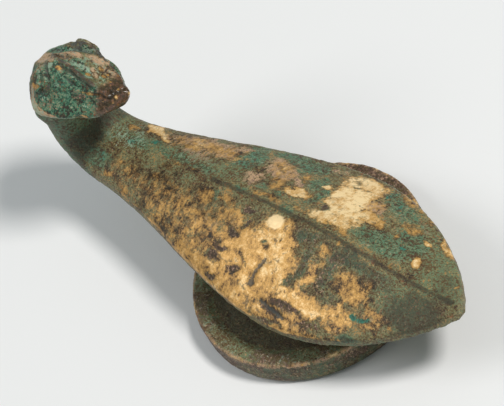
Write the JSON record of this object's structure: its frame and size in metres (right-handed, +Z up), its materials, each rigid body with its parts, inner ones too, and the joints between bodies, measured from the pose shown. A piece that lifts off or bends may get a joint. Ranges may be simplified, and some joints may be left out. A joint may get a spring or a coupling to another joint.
{
  "type": "bronze garment hook",
  "caption": "Ancient gilt bronze garment hook: a ridged leaf over a round button, with a neck that curls back into an animal's head.",
  "frame": {"origin": "centre of the button's flat outer face, which it stands on", "axes": "+X towards the leaf's tip, +Z up from the button to the leaf's ridge, +Y to the side that makes the frame right-handed"},
  "size_m": [0.0575, 0.0266, 0.0252],
  "materials": {
    "gilt_bronze": "worn gilding over brown and green corroded bronze"
  },
  "bodies": {
    "root": {"garment_hook": "gilt_bronze"}
  },
  "joints": []
}
